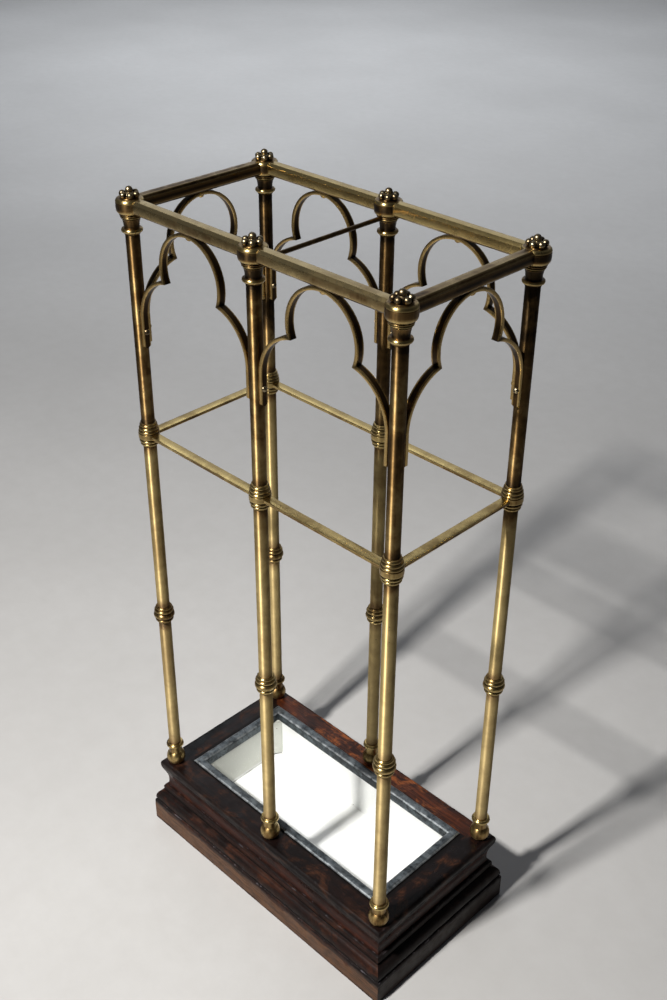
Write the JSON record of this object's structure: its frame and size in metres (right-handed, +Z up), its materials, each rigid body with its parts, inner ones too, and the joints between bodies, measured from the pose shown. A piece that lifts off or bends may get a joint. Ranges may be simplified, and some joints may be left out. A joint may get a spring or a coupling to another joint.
{
  "type": "umbrella stand",
  "caption": "Antique brass umbrella and stick stand with trefoil arches, ball finials, a stepped mahogany base and a lift-out drip tray.",
  "frame": {"origin": "on the floor under the middle of the base", "axes": "+Z up along the posts, +X to the right along the long front, +Y from the front towards the back"},
  "size_m": [0.3162, 0.1752, 0.6729],
  "materials": {
    "brass": "aged, worn satin with brown patina in the grooves",
    "brass_dark": "aged, dull khaki to brown patina with rubbed edges",
    "mahogany": "dark french-polished mahogany, worn on the edges",
    "deal": "raw planed softwood",
    "zinc": "dull blue-grey zinc, mottled black",
    "enamel": "white vitreous enamel on sheet iron, slightly stained",
    "steel": "dull steel"
  },
  "bodies": {
    "stand": {"plate_front": "mahogany", "plate_back": "mahogany", "plate_left": "mahogany", "plate_right": "mahogany", "frieze_front": "mahogany", "frieze_back": "mahogany", "frieze_left": "mahogany", "frieze_right": "mahogany", "plinth_front": "mahogany", "plinth_back": "mahogany", "plinth_left": "mahogany", "plinth_right": "mahogany", "tray_board": "deal", "board_bearers": "deal", "post_feet": "brass", "post_tube_front_left": "brass", "post_tube_front_middle": "brass", "post_tube_front_right": "brass", "post_tube_back_left": "brass", "post_tube_back_middle": "brass", "post_tube_back_right": "brass", "lower_collars": "brass", "middle_collars": "brass", "capital_front_left": "brass", "capital_front_middle": "brass", "capital_front_right": "brass", "capital_back_left": "brass", "capital_back_middle": "brass", "capital_back_right": "brass", "finials": "brass", "top_rail_front_left": "brass_dark", "top_rail_front_right": "brass_dark", "top_rail_back_left": "brass_dark", "top_rail_back_right": "brass_dark", "top_rail_left_end": "brass_dark", "top_rail_right_end": "brass_dark", "divider_rod": "brass_dark", "middle_rail_front_left": "brass", "middle_rail_front_right": "brass", "middle_rail_back_left": "brass", "middle_rail_back_right": "brass", "middle_rail_left_end": "brass", "middle_rail_right_end": "brass", "arch_front_left": "brass_dark", "arch_front_right": "brass_dark", "arch_back_left": "brass_dark", "arch_back_right": "brass_dark", "arch_left_end": "brass_dark", "arch_right_end": "brass_dark", "tie_rods": "steel", "tie_rod_nuts": "steel", "tie_rod_washers": "steel", "arch_screws": "brass", "arch_rivets": "brass_dark"},
    "tray": {"tray_pan": "enamel", "tray_rim": "zinc"}
  },
  "joints": [
    {"name": "tray_lift", "type": "slide", "parent": "stand", "child": "tray", "axis": [0, 0, 1], "range_m": [0, 0.12]}
  ]
}
